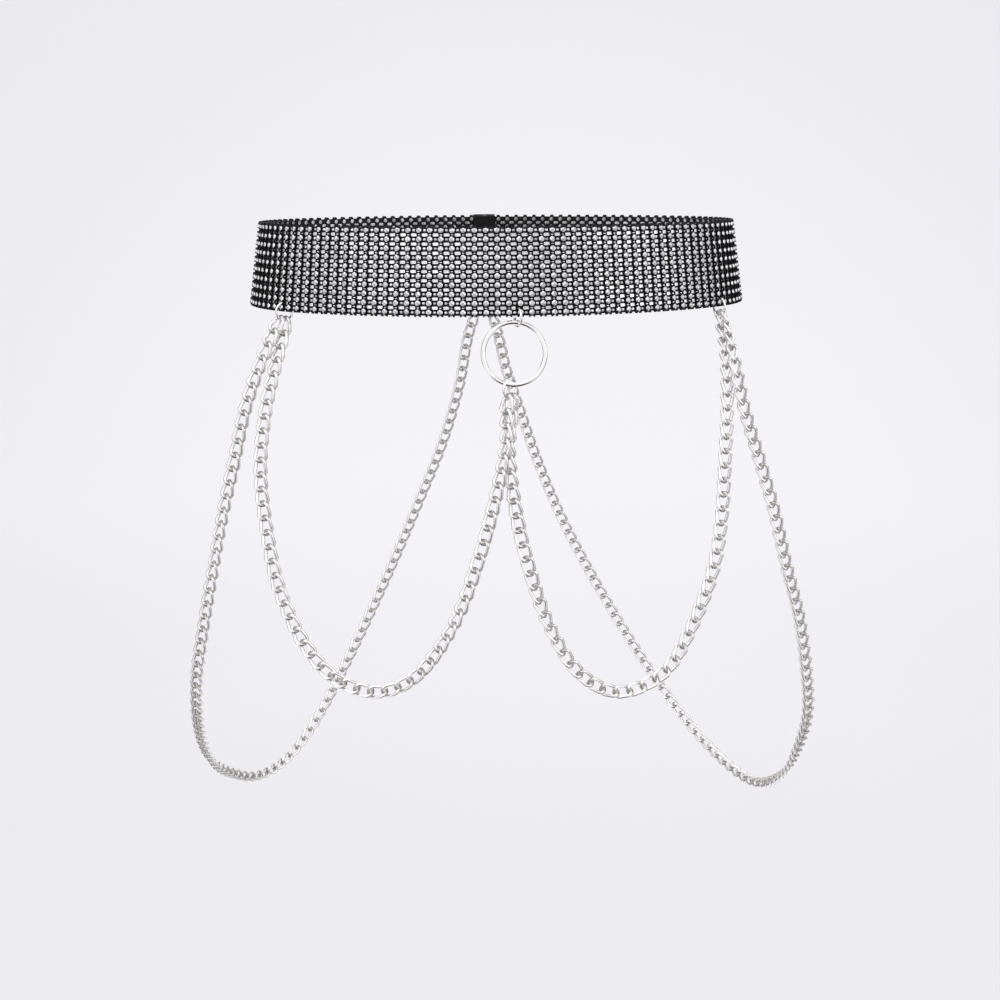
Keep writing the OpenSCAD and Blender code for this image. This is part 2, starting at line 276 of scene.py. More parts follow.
def newMaterial(name, build):
    material = bpy.data.materials.new(name)
    material.use_nodes = True
    graph = Graph(material.node_tree)
    surface = build(graph)
    graph.node("ShaderNodeOutputMaterial", None, {"Surface": surface})
    return material


def rgb(*values):
    return (*values, 1.0)


# Cast glass stones with a foil back: bright facets with painted glints, each facet a little lighter or
# darker, and a painted dark reflection that makes the table greyer.
stoneLook = {"light": rgb(0.92, 0.92, 0.925), "dull": rgb(0.44, 0.44, 0.46), "centre": rgb(0.4, 0.4, 0.43),
             "byFacet": 0.7, "byStone": 0.4, "tableAbove": -0.02, "tableMix": 0.8,
             "metal": 0.4, "rough": 0.1, "smear": 0.12, "coatRough": 0.05}


def stoneMaterial(g):
    tone = g.attribute("tone", 2)
    depth = g.parts(g.attribute("local", 1), 2)
    glint = g.attribute("glint", 2)
    # Painted glints: each facet is lighter or darker by its own random number, and each stone by its tone.
    dulled = glint * glint * stoneLook["byFacet"] + tone * stoneLook["byStone"]
    colour = g.mixColour(dulled, stoneLook["light"], stoneLook["dull"])
    # Painted reflection: the table is painted greyer than the facets round it.
    onTable = (depth > stoneLook["tableAbove"]) * stoneLook["tableMix"]
    colour = g.mixColour(onTable, colour, stoneLook["centre"])
    return g.surface({
        "Base Color": colour, "Metallic": stoneLook["metal"],
        "Roughness": tone * stoneLook["smear"] + stoneLook["rough"],
        "Coat Weight": 1.0, "Coat Roughness": stoneLook["coatRough"]})


# Plated silver: slow changes of tone and gloss, fine handling marks. The links are less polished, and their
# tint is darker than the rings', a painted shade; their ends get more painted shade in linkMaterial.
silverLook = {"smear": 0.1, "patch": 260.0, "scratch": 1800.0, "detail": 3.0, "relief": 0.05, "depth": 0.0001}
ringLook = {"tint": rgb(0.98, 0.965, 0.945), "dark": rgb(0.9, 0.88, 0.86), "rough": 0.03, "metal": 1.0}
linkLook = {"tint": rgb(0.93, 0.905, 0.885), "dark": rgb(0.82, 0.795, 0.78), "rough": 0.08, "metal": 0.72,
            "contactShade": rgb(0.3, 0.285, 0.27), "contactShadeFrom": 10.0, "contactShadeTo": 21.0, "contactShadeMix": 0.8}


def silver(g, look, extra):
    place = g.objectPlace()
    patch = g.noise(place, silverLook["patch"], silverLook["detail"])
    fine = g.noise(place, silverLook["scratch"], silverLook["detail"])
    bump = g.bump(fine, silverLook["relief"], silverLook["depth"])
    colour = g.mixColour(patch, look["tint"], look["dark"])
    return g.surface({
        "Base Color": extra(colour), "Metallic": look["metal"],
        "Roughness": patch * silverLook["smear"] + look["rough"], "Normal": bump})


def silverMaterial(g):
    return silver(g, ringLook, lambda colour: colour)


# The same on the links, with painted shade at the ends where each link passes through the next. It grows
# with the square of the way, in millimetres, from the link's middle.
def linkMaterial(g):
    along = g.parts(g.attribute("local", 1), 0)
    # Painted shade: darker towards both ends of each link, where the next one passes through it.
    worn = g.softStep(along * along, linkLook["contactShadeFrom"], linkLook["contactShadeTo"], 0.0, linkLook["contactShadeMix"])
    return silver(g, linkLook, lambda colour: g.mixColour(worn, colour, linkLook["contactShade"]))


# Metallised tiles between the stones: pressed silver with level ridges.
tileLook = {"tint": rgb(0.82, 0.82, 0.825), "dull": rgb(0.69, 0.69, 0.7), "rough": 0.28, "smear": 0.1,
            "ridges": 1.5, "relief": 0.12, "depth": 0.0002}


def tileMaterial(g):
    tone = g.attribute("tone", 2)
    height = g.parts(g.attribute("local", 1), 1)
    ridge = (height * (tileLook["ridges"] * 2 * math.pi)).sine()
    bump = g.bump(ridge, tileLook["relief"], tileLook["depth"])
    return g.surface({
        "Base Color": g.mixColour(tone, tileLook["tint"], tileLook["dull"]), "Metallic": 1.0,
        "Roughness": tone * tileLook["smear"] + tileLook["rough"], "Normal": bump})


# Duller silver of the small buttons and dashes, which lie deeper.
buttonLook = {"tint": rgb(0.86, 0.86, 0.87), "dull": rgb(0.46, 0.46, 0.48), "rough": 0.3, "smear": 0.15}


def buttonMaterial(g):
    tone = g.attribute("tone", 2)
    return g.surface({
        "Base Color": g.mixColour(tone, buttonLook["tint"], buttonLook["dull"]), "Metallic": 1.0,
        "Roughness": tone * buttonLook["smear"] + buttonLook["rough"]})


# Black enamelled mesh, cups and claws: a gloss that changes slowly, a fine grain, greyer where it is handled.
blackLook = {"deep": rgb(0.006, 0.006, 0.006), "worn": rgb(0.016, 0.015, 0.016), "rough": 0.34, "smear": 0.2,
             "patch": 300.0, "patchDetail": 3.0, "grain": 4000.0, "grainDetail": 2.0,
             "relief": 0.15, "depth": 0.0001, "shine": 0.12}


def blackMaterial(g):
    place = g.objectPlace()
    patch = g.noise(place, blackLook["patch"], blackLook["patchDetail"])
    grain = g.noise(place, blackLook["grain"], blackLook["grainDetail"])
    bump = g.bump(grain, blackLook["relief"], blackLook["depth"])
    return g.surface({
        "Base Color": g.mixColour(patch, blackLook["deep"], blackLook["worn"]),
        "Roughness": patch * blackLook["smear"] + blackLook["rough"],
        "Specular IOR Level": blackLook["shine"], "Normal": bump})


stoneFinish = newMaterial("foilBackedStone", stoneMaterial)
silverFinish = newMaterial("platedSilver", silverMaterial)
linkFinish = newMaterial("chainSilver", linkMaterial)
tileFinish = newMaterial("pressedSilver", tileMaterial)
buttonFinish = newMaterial("dullSilver", buttonMaterial)
blackFinish = newMaterial("blackEnamel", blackMaterial)
print("materials ready")


def bandPiece(piece):
    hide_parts("band")
    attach(piece, "root")


# The mesh itself: a level section with bevelled corners carried round the wall, closed at both ends.
def wallShape(stations):
    a, b, e, w = band["wallOuter"], band["wallInner"], band["wallEdge"], band["wallBevel"]
    section = np.array([[a, -e + w], [a, e - w], [a + w, e], [b - w, e],
                        [b, e - w], [b, -e + w], [b - w, -e], [a + w, -e]])
    run = np.linspace(-band["endAt"], band["endAt"], stations)
    places, _ = onWall(run[:, None], section[None, :, 1], section[None, :, 0])
    m = len(section)
    ends = [np.arange(m)[None], ((stations - 1) * m + np.arange(m))[::-1][None]]
    return makeShape(places, [gridFaces(stations, m, False, True)[:, ::-1], ends[0], ends[1]])


bandPiece(makePiece("bandMesh", wallShape(band["wallSteps"]), blackFinish, smooth=35))

# Stones: an octagon table, a crown of 24 facets down to a girdle of 16 corners, and a point behind.
stone = {"table": 0.5, "girdle": 1.25, "crown": 0.55, "point": 1.2, "tilt": 3.0, "deep": 0.02,
         "tones": (1.5, 4)}


def stoneShape():
    turn8, turn16 = np.arange(8) * np.pi / 4, np.arange(16) * np.pi / 8
    table = np.column_stack([stone["table"] * np.cos(turn8), stone["table"] * np.sin(turn8), np.zeros(8)])
    girdle = np.column_stack([stone["girdle"] * np.cos(turn16), stone["girdle"] * np.sin(turn16),
                              np.full(16, -stone["crown"])])
    points = np.concatenate([table, girdle, [[0, 0, -stone["point"]]]])
    i, g = np.arange(8), 8 + np.arange(16)
    nextTable, g0, g1, g2 = (i + 1) % 8, g[2 * i], g[2 * i + 1], g[(2 * i + 2) % 16]
    crown = np.concatenate([np.stack([i, g0, g1], 1), np.stack([i, g1, nextTable], 1),
                            np.stack([nextTable, g1, g2], 1)])
    back = np.stack([np.roll(g, -1), g, np.full(16, len(points) - 1)], 1)
    return makeShape(points, [i[None], crown, back])


# Each stone sits a little turned and tipped in its cup.
def tippedAxes(axes, degrees):
    count = len(axes)
    tip = np.radians(rng.normal(0, degrees, (count, 2)))
    spin = rng.uniform(0, np.pi / 4, count)
    x, y, z = axes[:, 0], axes[:, 1], axes[:, 2]
    out = z + x * tip[:, :1] + y * tip[:, 1:]
    out /= np.linalg.norm(out, axis=1, keepdims=True)
    across = x * np.cos(spin)[:, None] + y * np.sin(spin)[:, None]
    across -= out * (across * out).sum(1, keepdims=True)
    across /= np.linalg.norm(across, axis=1, keepdims=True)
    return np.stack([across, np.cross(out, across), out], 1)


# Few stones are dark: "tones" are the two numbers of a beta draw that crowds towards the light end.
stoneRuns, stoneUps = crossings(columnRuns, rowUps)
places, axes = onWall(stoneRuns, stoneUps, stone["deep"])
stoneTone = rng.beta(*stone["tones"], len(stoneRuns))
bandPiece(makeCopies("bandStones", stoneShape(), places, tippedAxes(axes, stone["tilt"]), stoneFinish,
                     tone=stoneTone, glint=True))

# Cups: a ring that leans out round each stone, and four claws that bend over its edge. The claw's widths are
# shares of its full width.
cup = {"inner": 1.22, "outer": 1.62, "rim": 0.62, "base": 2.0, "sides": 12, "lip": 0.14, "lipDrop": 0.1,
       "shoulder": 0.3, "shoulderDrop": 0.2, "claw": 0.15, "clawIn": 1.14, "clawOut": 1.6,
       "tipWidth": 0.6, "tipDeep": 0.18, "bendIn": 0.12, "bendDeep": 0.02,
       "heelWidth": 0.8, "heelIn": 0.2, "heelDrop": 0.15}


def clawShape():
    w, tip, heel = cup["claw"], cup["claw"] * cup["tipWidth"], cup["claw"] * cup["heelWidth"]
    bendAt, heelAt = cup["clawOut"] - cup["bendIn"], cup["clawIn"] + cup["heelIn"]
    heelDeep = cup["rim"] + cup["heelDrop"]
    points = np.array([[cup["clawIn"], -tip, -cup["tipDeep"]], [cup["clawIn"], tip, -cup["tipDeep"]],
                       [bendAt, w, -cup["bendDeep"]], [bendAt, -w, -cup["bendDeep"]],
                       [cup["clawOut"], -w, -cup["base"]], [cup["clawOut"], w, -cup["base"]],
                       [heelAt, -heel, -heelDeep], [heelAt, heel, -heelDeep]])
    quads = np.array([[0, 3, 2, 1], [3, 4, 5, 2], [4, 6, 7, 5], [6, 0, 1, 7], [0, 6, 4, 3], [1, 2, 5, 7]])
    return makeShape(points, [quads])


def cupShape():
    profile = [(0, -cup["rim"] - cup["lipDrop"]), (cup["lip"], -cup["rim"]),
               (cup["shoulder"], -cup["rim"] - cup["shoulderDrop"]),
               (cup["outer"] - cup["inner"], -cup["base"])]
    shapes, claw = [frameShape(cup["inner"], cup["inner"], profile, cup["sides"], 2)], clawShape()
    for degrees in (45, 135, 225, 315):
        c, s = math.cos(math.radians(degrees)), math.sin(math.radians(degrees))
        shapes.append({**claw, "points": claw["points"] @ np.array([[c, s, 0], [-s, c, 0], [0, 0, 1]])})
    return joinShapes(shapes)


places, axes = onWall(stoneRuns, stoneUps, 0.0)
bandPiece(makeCopies("bandCups", cupShape(), places, axes, blackFinish))

# Tiles: silver pillows between the rows, half a column along, each in a black frame.
tile = {"halfWidth": 1.46, "halfHeight": 0.86, "bevel": 0.12, "top": 1.7, "shoulder": 1.82, "foot": 2.05,
        "sides": 16, "power": 7, "frameWidth": 0.24, "frameTop": 0.95, "frameLean": 0.04, "frameDrop": 0.1,
        "frameFlare": 0.05, "holeRoom": 1.0, "holeBeside": 1, "leastWidth": 0.8}


def tileShape():
    a, b, bevel = tile["halfWidth"], tile["halfHeight"], tile["bevel"]
    rings = [(a, b, -tile["foot"]), (a, b, -tile["shoulder"]), (a - bevel, b - bevel, -tile["top"])]
    return buttonShape(rings, tile["sides"], tile["power"])


def tileFrame():
    w, top, foot = tile["frameWidth"], tile["frameTop"], tile["foot"]
    profile = [(0, -foot), (tile["frameLean"], -top),
               (w, -top - tile["frameDrop"]), (w + tile["frameFlare"], -foot)]
    return frameShape(tile["halfWidth"], tile["halfHeight"], profile, tile["sides"], tile["power"])


# Tiles beside a jump ring hole are cut short there.
run, up = crossings(gapRuns, betweenUps)
left, right = run - tile["halfWidth"], run + tile["halfWidth"]
for hole in holeRuns:
    beside = np.abs(up - holeUp) < tile["holeBeside"]
    right = np.where(beside & (run < hole), np.minimum(right, hole - tile["holeRoom"]), right)
    left = np.where(beside & (run >= hole), np.maximum(left, hole + tile["holeRoom"]), left)
keep = right - left > tile["leastWidth"]
places, axes = onWall((left + right)[keep] / 2, up[keep], 0.0)
axes[:, 0] *= ((right - left)[keep] / (2 * tile["halfWidth"]))[:, None]
bandPiece(makeCopies("bandTiles", tileShape(), places, axes, tileFinish, smooth=40))
bandPiece(makeCopies("bandTileFrames", tileFrame(), places, axes, blackFinish))

# Buttons: small dull silver studs between the stones of a row, each in a black frame. Upper widths are shares
# of the full width.
button = {"halfWidth": 0.74, "halfHeight": 0.62, "foot": 2.05, "shoulder": 1.4, "shoulderWidth": 0.92,
          "top": 1.3, "topWidth": 0.55, "sides": 8, "power": 3, "frameWidth": 0.24, "frameTop": 1.15,
          "frameFoot": 0.02, "frameLean": 0.06, "framePower": 3.5}


def buttonStud():
    a, b, mid, top = button["halfWidth"], button["halfHeight"], button["shoulderWidth"], button["topWidth"]
    rings = [(a, b, -button["foot"]), (a * mid, b * mid, -button["shoulder"]),
             (a * top, b * top, -button["top"])]
    return buttonShape(rings, button["sides"], button["power"])


def buttonFrame():
    w, top, foot = button["frameWidth"], button["frameTop"], button["foot"]
    profile = [(button["frameFoot"], -foot), (button["frameLean"], -top), (w, -top), (w, -foot)]
    return frameShape(button["halfWidth"], button["halfHeight"], profile,
                      button["sides"], button["framePower"])


run, up = crossings(gapRuns, rowUps)
places, axes = onWall(run, up, 0.0)
bandPiece(makeCopies("bandButtons", buttonStud(), places, axes, buttonFinish, smooth=40))
bandPiece(makeCopies("bandButtonFrames", buttonFrame(), places, axes, blackFinish))

# Dashes: narrow slips of silver under each stone, between two tiles.
dash = {"halfWidth": 0.66, "halfHeight": 0.28, "top": 1.4, "topWidth": 0.9, "topHeight": 0.8, "foot": 2.05,
        "sides": 6, "power": 2.5, "holeAlong": 1.6, "holeHigh": 1.0}


def dashShape():
    a, b = dash["halfWidth"], dash["halfHeight"]
    rings = [(a, b, -dash["foot"]), (a * dash["topWidth"], b * dash["topHeight"], -dash["top"])]
    return buttonShape(rings, dash["sides"], dash["power"])


run, up = crossings(columnRuns, betweenUps)
keep = clearOfHoles(run, up, dash["holeAlong"], dash["holeHigh"])
places, axes = onWall(run[keep], up[keep], 0.0)
bandPiece(makeCopies("bandDashes", dashShape(), places, axes, buttonFinish))


# Claw feet along the edges: one broad lip over each stone of the top row, two splayed feet under each stone
# of the lowest.
edge = {"from": 19.2, "to": 20.5, "lipRoot": 1.2, "lipTip": 0.8, "footAt": 0.8, "footRoot": 0.58,
        "footTip": 0.3, "splay": 0.3, "top": 0.25, "deep": 2.1, "tipBack": 0.2, "tipDrop": 0.15}


def footShape(root, tip, splay):
    rise, top, deep = edge["to"] - edge["from"], edge["top"], edge["deep"]
    tipTop, tipDeep = top + edge["tipDrop"], deep - edge["tipBack"]
    points = [[-root, 0, -deep], [root, 0, -deep], [root, 0, -top], [-root, 0, -top],
              [splay - tip, rise, -tipDeep], [splay + tip, rise, -tipDeep],
              [splay + tip, rise, -tipTop], [splay - tip, rise, -tipTop]]
    quads = [[3, 2, 1, 0], [4, 5, 6, 7], [0, 1, 5, 4], [1, 2, 6, 5], [2, 3, 7, 6], [3, 0, 4, 7]]
    return makeShape(points, [np.array(quads)])


# For the lower edge the axes across and up are both turned round, which keeps the faces outward.
def edgeClaws():
    places, axes = onWall(columnRuns, edge["from"], 0.0)
    shapes = [copyShape(footShape(edge["lipRoot"], edge["lipTip"], 0), places, axes)]
    for side in (-1, 1):
        places, axes = onWall(columnRuns + side * edge["footAt"], -edge["from"], 0.0)
        turned = axes * np.array([-1, -1, 1])[None, :, None]
        foot = footShape(edge["footRoot"], edge["footTip"], -side * edge["splay"])
        shapes.append(copyShape(foot, places, turned))
    return joinShapes(shapes)


bandPiece(makePiece("bandEdgeClaws", edgeClaws(), blackFinish))

# Rims of the three holes for the jump rings.
rim = {"radius": 0.8, "lean": 0.05, "width": 0.25, "flare": 0.3, "top": 1.5, "foot": 2.05, "sides": 16}
rimProfile = [(0, -rim["foot"]), (rim["lean"], -rim["top"]),
              (rim["width"], -rim["top"]), (rim["flare"], -rim["foot"])]
places, axes = onWall(holeRuns, holeUp, 0.0)
bandPiece(makeCopies("bandHoleRims", frameShape(rim["radius"], rim["radius"], rimProfile, rim["sides"], 2),
                     places, axes, blackFinish, smooth=40))

# Backs of the stones and tiles, which show as dull silver inside the band.
back = {"radius": 1.05, "halfWidth": 1.3, "halfHeight": 0.7, "rise": 0.12, "shoulder": 0.4, "topWidth": 0.7,
        "sink": 0.3, "sides": 8}


def backShape(a, b, power):
    top = back["topWidth"]
    rings = [(a, b, -back["sink"]), (a, b, back["rise"] * back["shoulder"]), (a * top, b * top, back["rise"])]
    return buttonShape(rings, back["sides"], power)


# Axes on the wall's inner face: out is turned inward, and across with it.
def insideWall(run, up):
    places, axes = onWall(run, up, band["wallInner"])
    return places, axes * np.array([-1, 1, -1])[None, :, None]


insidePieces = {
    "bandStoneBacks": (backShape(back["radius"], back["radius"], 2), columnRuns, rowUps),
    "bandTileBacks": (backShape(back["halfWidth"], back["halfHeight"], 4), gapRuns, betweenUps)}
for name, (shape, runs, ups) in insidePieces.items():
    places, axes = insideWall(*crossings(runs, ups))
    bandPiece(makeCopies(name, shape, places, axes, buttonFinish, smooth=40))
print("band ready")


# The curb links and the rings that hold them. "full" draws the few-sided wire a little larger, so that it
# looks as full as a round one, and "beyond" is how far a chain's way is taken to go on inside a ring.
chain = {"pitch": 7, "width": 7, "wire": 1.6, "twist": 42, "play": 0.25, "hookGap": 0.25,
         "steps": 16, "sides": 6, "full": 1.06, "waySteps": 12, "beyond": 20}
rings = {"jump": 9.6, "jumpWire": 1.1, "big": 30.6, "bigWire": 2.2, "lean": 8, "shift": 8, "lowerShift": 9,
         "leftTurn": -10, "rightTurn": -20, "lowerTurn": 42, "tab": 2.6}
linkHalfWidth = (chain["width"] - chain["wire"]) / 2
linkHalfLength = (chain["pitch"] + chain["wire"] + chain["play"]) / 2
linkBend = linkHalfLength - linkHalfWidth
jumpRadius = (rings["jump"] - rings["jumpWire"]) / 2
bigRadius = (rings["big"] - rings["bigWire"]) / 2
firstHook = jumpRadius - (rings["jumpWire"] + chain["wire"]) / 2 - chain["hookGap"]
chainStart = firstHook + (chain["wire"] + chain["play"]) / 2

downward = np.array([0.0, 0.0, -1.0])


# A level direction, by its angle from the x axis.
def level(degrees):
    return np.array([math.cos(math.radians(degrees)), math.sin(math.radians(degrees)), 0.0])


# Centre of a jump ring that hangs from the wall at a run and a height.
def hangFrom(run, up):
    return onWall(run, up, band["holeDepth"])[0][0] + downward * jumpRadius


# Direction of a chain at a ring: an angle from straight down, in the ring's plane.
def ringWay(facing, side):
    return downward * math.cos(math.radians(side)) + level(facing) * math.sin(math.radians(side))


bigDown = np.array([0.0, -math.sin(math.radians(rings["lean"])), -math.cos(math.radians(rings["lean"]))])


# From the big ring's centre to its wire, at an angle from its lowest point.
def roundBig(side):
    across = np.array([math.sin(math.radians(side)), 0.0, 0.0])
    return (bigDown * math.cos(math.radians(side)) + across) * bigRadius


ringDrop = jumpRadius - (rings["jumpWire"] + rings["bigWire"]) / 2 - chain["hookGap"]
frontRing = hangFrom(holeRuns[0], holeUp)
leftRing = hangFrom(holeRuns[1], holeUp)
rightRing = hangFrom(holeRuns[2], holeUp)
backRing = hangFrom(wallRuns[5], -bandHeight / 2 - rings["tab"])
bigRing = frontRing + downward * ringDrop + roundBig(-rings["shift"])
lowerRing = bigRing + roundBig(-rings["lowerShift"]) + downward * (ringDrop - chain["hookGap"])
leftFacing = 180 + band["leftHole"] + rings["leftTurn"]
rightFacing = -band["rightHole"] + rings["rightTurn"]
lowerFacing, backFacing = rings["lowerTurn"], 0

# Each chain from ring to ring: at each end the ring, the chain's direction there and the turn of its flat
# face, and between them chosen points, x, y, z and the turn from facing straight out.
chainWays = {
    "frontChainLeft": {
        "node": "front_chain_left",
        "from": (leftRing, ringWay(leftFacing, -10), 32), "to": (lowerRing, ringWay(lowerFacing, -26), 30),
        "way": [[-110, -54, -42, 15], [-116, -61, -66, 22], [-119, -67, -93, 22], [-117, -72, -120, 20],
                [-112, -79, -147, 18], [-101, -87, -172, 14], [-86, -93, -189, 20], [-66, -99, -194, 30],
                [-47, -103, -184, 10], [-30, -104, -159, 42], [-19, -103, -130, 5], [-11, -102, -102, 30],
                [-6, -101, -77, 50]]},
    "frontChainRight": {
        "node": "front_chain_right",
        "from": (rightRing, ringWay(rightFacing, -6), 22), "to": (lowerRing, ringWay(lowerFacing, 24), 2),
        "way": [[105, -59, -43, -5], [104, -69, -66, -20], [102, -76, -92, -28], [100, -81, -118, -28],
                [95, -87, -143, -22], [84, -93, -169, -12], [70, -99, -189, -20], [48, -103, -197, -32],
                [28, -105, -186, -5], [14, -105, -163, -34], [4, -103, -133, -5], [-2, -100, -104, 30],
                [-4, -96, -78, 50]]},
    "backChainLeft": {
        "node": "back_chain_left",
        "from": (leftRing, ringWay(leftFacing, 38), 32), "to": (backRing, ringWay(backFacing, -34), 48),
        "way": [[-117, -54, -42, 15], [-126, -54, -66, 20], [-132, -54, -90, 25], [-139, -53, -117, 12],
                [-145, -52, -144, 12], [-151, -50, -172, 25], [-157, -43, -202, 35], [-160, -29, -230, 45],
                [-161, -8, -254, 50], [-159, 16, -276, 40], [-152, 42, -294, 15], [-140, 66, -307, 0],
                [-124, 88, -307, 0], [-106, 106, -290, 0], [-88, 117, -260, 0], [-70, 122, -225, 0],
                [-53, 122, -188, 0], [-38, 118, -152, 0], [-24, 111, -116, 0], [-14, 102, -80, 0],
                [-9, 94, -50, 20]]},
    "backChainRight": {
        "node": "back_chain_right",
        "from": (rightRing, ringWay(rightFacing, 42), 22), "to": (backRing, ringWay(backFacing, 34), 48),
        "way": [[107, -67, -43, 0], [113, -67, -68, -15], [122, -64, -93, -25], [131, -63, -120, -30],
                [139, -60, -148, -35], [149, -54, -178, -40], [156, -48, -208, -45], [162, -37, -238, -50],
                [164, -18, -266, -55], [164, 8, -294, -40], [158, 38, -313, -15], [147, 66, -313, 0],
                [131, 90, -299, 0], [111, 108, -273, 0], [90, 118, -240, 0], [70, 122, -205, 0],
                [51, 121, -168, 0], [35, 116, -130, 0], [23, 109, -96, 0], [14, 101, -70, 0],
                [9, 94, -50, 20]]}}


# The whole way with an end at each ring and one more point beyond it, smoothed: between two points b and c,
# with a before and d after, b + (c-a)t/2 + (2a-5b+4c-d)t2/2 + (3b-a-3c+d)t3/2 for t from 0 to 1.
def smoothWay(item):
    (ringA, wayA, turnA), (ringB, wayB, turnB) = item["from"], item["to"]
    a, b = ringA + wayA * chainStart, ringB + wayB * chainStart
    first = [[*(a - wayA * chain["beyond"]), turnA], [*a, turnA]]
    last = [[*b, turnB], [*(b - wayB * chain["beyond"]), turnB]]
    w = np.array(first + item["way"] + last, float)
    p, q, r, s = w[:-3, None], w[1:-2, None], w[2:-1, None], w[3:, None]
    t = (np.arange(chain["waySteps"]) / chain["waySteps"])[None, :, None]
    square, cube = 2 * p - 5 * q + 4 * r - s, 3 * q - p - 3 * r + s
    fine = q + (r - p) * t / 2 + square * t ** 2 / 2 + cube * t ** 3 / 2
    return np.concatenate([fine.reshape(-1, 4), w[-2:-1]])


# Centres and axes of the links: each spans one pitch of the way, its flat face turned from the body's outward
# direction, which is the normal of an oval of the band's size.
def linkFrames(fine):
    steps = np.linalg.norm(np.diff(fine[:, :3], axis=0), axis=1)
    length = np.concatenate([[0], np.cumsum(steps)])
    count = math.ceil(length[-1] / chain["pitch"])
    pitch = length[-1] / count
    at = (np.arange(count) + 0.5) * pitch

    def spot(s):
        return np.stack([np.interp(s, length, fine[:, k]) for k in range(3)], 1)

    before, after = spot(at - pitch / 2), spot(at + pitch / 2)
    middle = (before + after) / 2
    along = after - before
    along /= np.linalg.norm(along, axis=1, keepdims=True)
    away = middle * [1 / halfWidth ** 2, 1 / halfDepth ** 2, 0]
    away /= np.linalg.norm(away, axis=1, keepdims=True)
    out = away - along * (away * along).sum(1, keepdims=True)
    out /= np.linalg.norm(out, axis=1, keepdims=True)
    across = np.cross(along, out)
    turn = np.radians(np.interp(at, length, fine[:, 3]))[:, None]
    flat, face = across * np.cos(turn) + out * np.sin(turn), out * np.cos(turn) - across * np.sin(turn)
    return middle, np.stack([along, flat, face], 1)


# A curb link: the wire's middle line is two half circles joined by straight sides, twisted about the link's
# length in step with the distance from its middle, and a round section is carried along it.
def linkShape():
    n, m = chain["steps"], chain["sides"]
    k = np.arange(n)
    near = k < n / 2
    a = np.radians(((np.where(near, k, k - n / 2)) + 0.5) * 180 / (n / 2) - 90)
    sign = np.where(near, 1, -1)
    x, y = (linkBend + linkHalfWidth * np.cos(a)) * sign, linkHalfWidth * np.sin(a) * sign
    twist = np.radians(chain["twist"]) * x / linkHalfLength
    line = np.stack([x, y * np.cos(twist), y * np.sin(twist)], 1)
    along = np.roll(line, -1, 0) - np.roll(line, 1, 0)
    along /= np.linalg.norm(along, axis=1, keepdims=True)
    out = line - along * (line * along).sum(1, keepdims=True)
    out /= np.linalg.norm(out, axis=1, keepdims=True)
    side = np.cross(along, out)
    b = ((np.arange(m) + 0.5) * 2 * np.pi / m)[None, :, None]
    section = (out[:, None] * np.cos(b) + side[:, None] * np.sin(b)) * chain["full"] * chain["wire"] / 2
    return makeShape((line[:, None] + section).reshape(-1, 3), [gridFaces(n, m, True, True)[:, ::-1]])


for name, item in chainWays.items():
    centres, axes = linkFrames(smoothWay(item))
    piece = makeCopies(name, linkShape(), centres, axes, linkFinish, smooth=80)
    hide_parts(item["node"])
    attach(piece, "root")
    print(name, len(centres), "links")


# The rings and the clasp keep the part's own solids and get a finish.
def dress(node, material):
    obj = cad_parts[node]
    obj.data.materials.clear()
    obj.data.materials.append(material)


for node in ("o_ring", "front_jump_ring", "lower_jump_ring",
             "side_jump_ring_left", "side_jump_ring_right", "back_jump_ring"):
    dress(node, silverFinish)
dress("back_clasp", blackFinish)
print("rings dressed")


# The studio, in metres: a round room of backlit paper. It glows less far from "centre" and low down.
studio = {"floor": -1.0, "radius": 3.2, "cove": 1.2, "coveSteps": 17, "wall": 3.4,
          "floorRings": [0.001, 0.5, 1.2], "sides": 96, "paper": rgb(0.4, 0.397, 0.405), "rough": 0.5,
          "glow": rgb(0.965, 0.957, 0.995), "glowPower": 0.568, "centre": (0.35, 2.9, -0.75),
          "near": 0.3, "far": 2.0, "nearGlow": 1.03, "farGlow": 0.9,
          "low": -1.0, "high": -0.7, "lowGlow": 0.93}


# The profile runs along the floor, up a quarter circle and up the wall, and is turned about the axis.
def roomShape():
    bend = np.linspace(0, np.pi / 2, studio["coveSteps"])
    flat = studio["radius"] - studio["cove"]
    r = np.concatenate([studio["floorRings"], flat + studio["cove"] * np.sin(bend), [studio["radius"]]])
    rise = [0] * len(studio["floorRings"]), studio["cove"] * (1 - np.cos(bend)), [studio["wall"]]
    z = studio["floor"] + np.concatenate(rise)
    turn = np.arange(studio["sides"]) * 2 * np.pi / studio["sides"]
    height = np.repeat(z[:, None], studio["sides"], 1)
    points = np.stack([r[:, None] * np.cos(turn), r[:, None] * np.sin(turn), height], -1)
    return makeShape(points.reshape(-1, 3) / mm, [gridFaces(len(r), studio["sides"], False, True)])


def paperMaterial(g):
    paper = g.node("ShaderNodeBsdfDiffuse", None, {"Color": studio["paper"], "Roughness": studio["rough"]})
    place = g.objectPlace()
    away = g.node("ShaderNodeVectorMath", {"operation": "DISTANCE"}, {0: place, 1: studio["centre"]}, 1)
    near = g.softStep(away, studio["near"], studio["far"], studio["nearGlow"], studio["farGlow"])
    low = g.softStep(g.parts(place, 2), studio["low"], studio["high"], studio["lowGlow"], 1.0)
    strength = near * low * studio["glowPower"]
    glow = g.node("ShaderNodeEmission", None, {"Color": studio["glow"], "Strength": strength})
    return g.node("ShaderNodeAddShader", None, {0: paper, 1: glow})


room = makePiece("studioRoom", roomShape(), newMaterial("studioPaper", paperMaterial), smooth=60)
room.visible_glossy = False

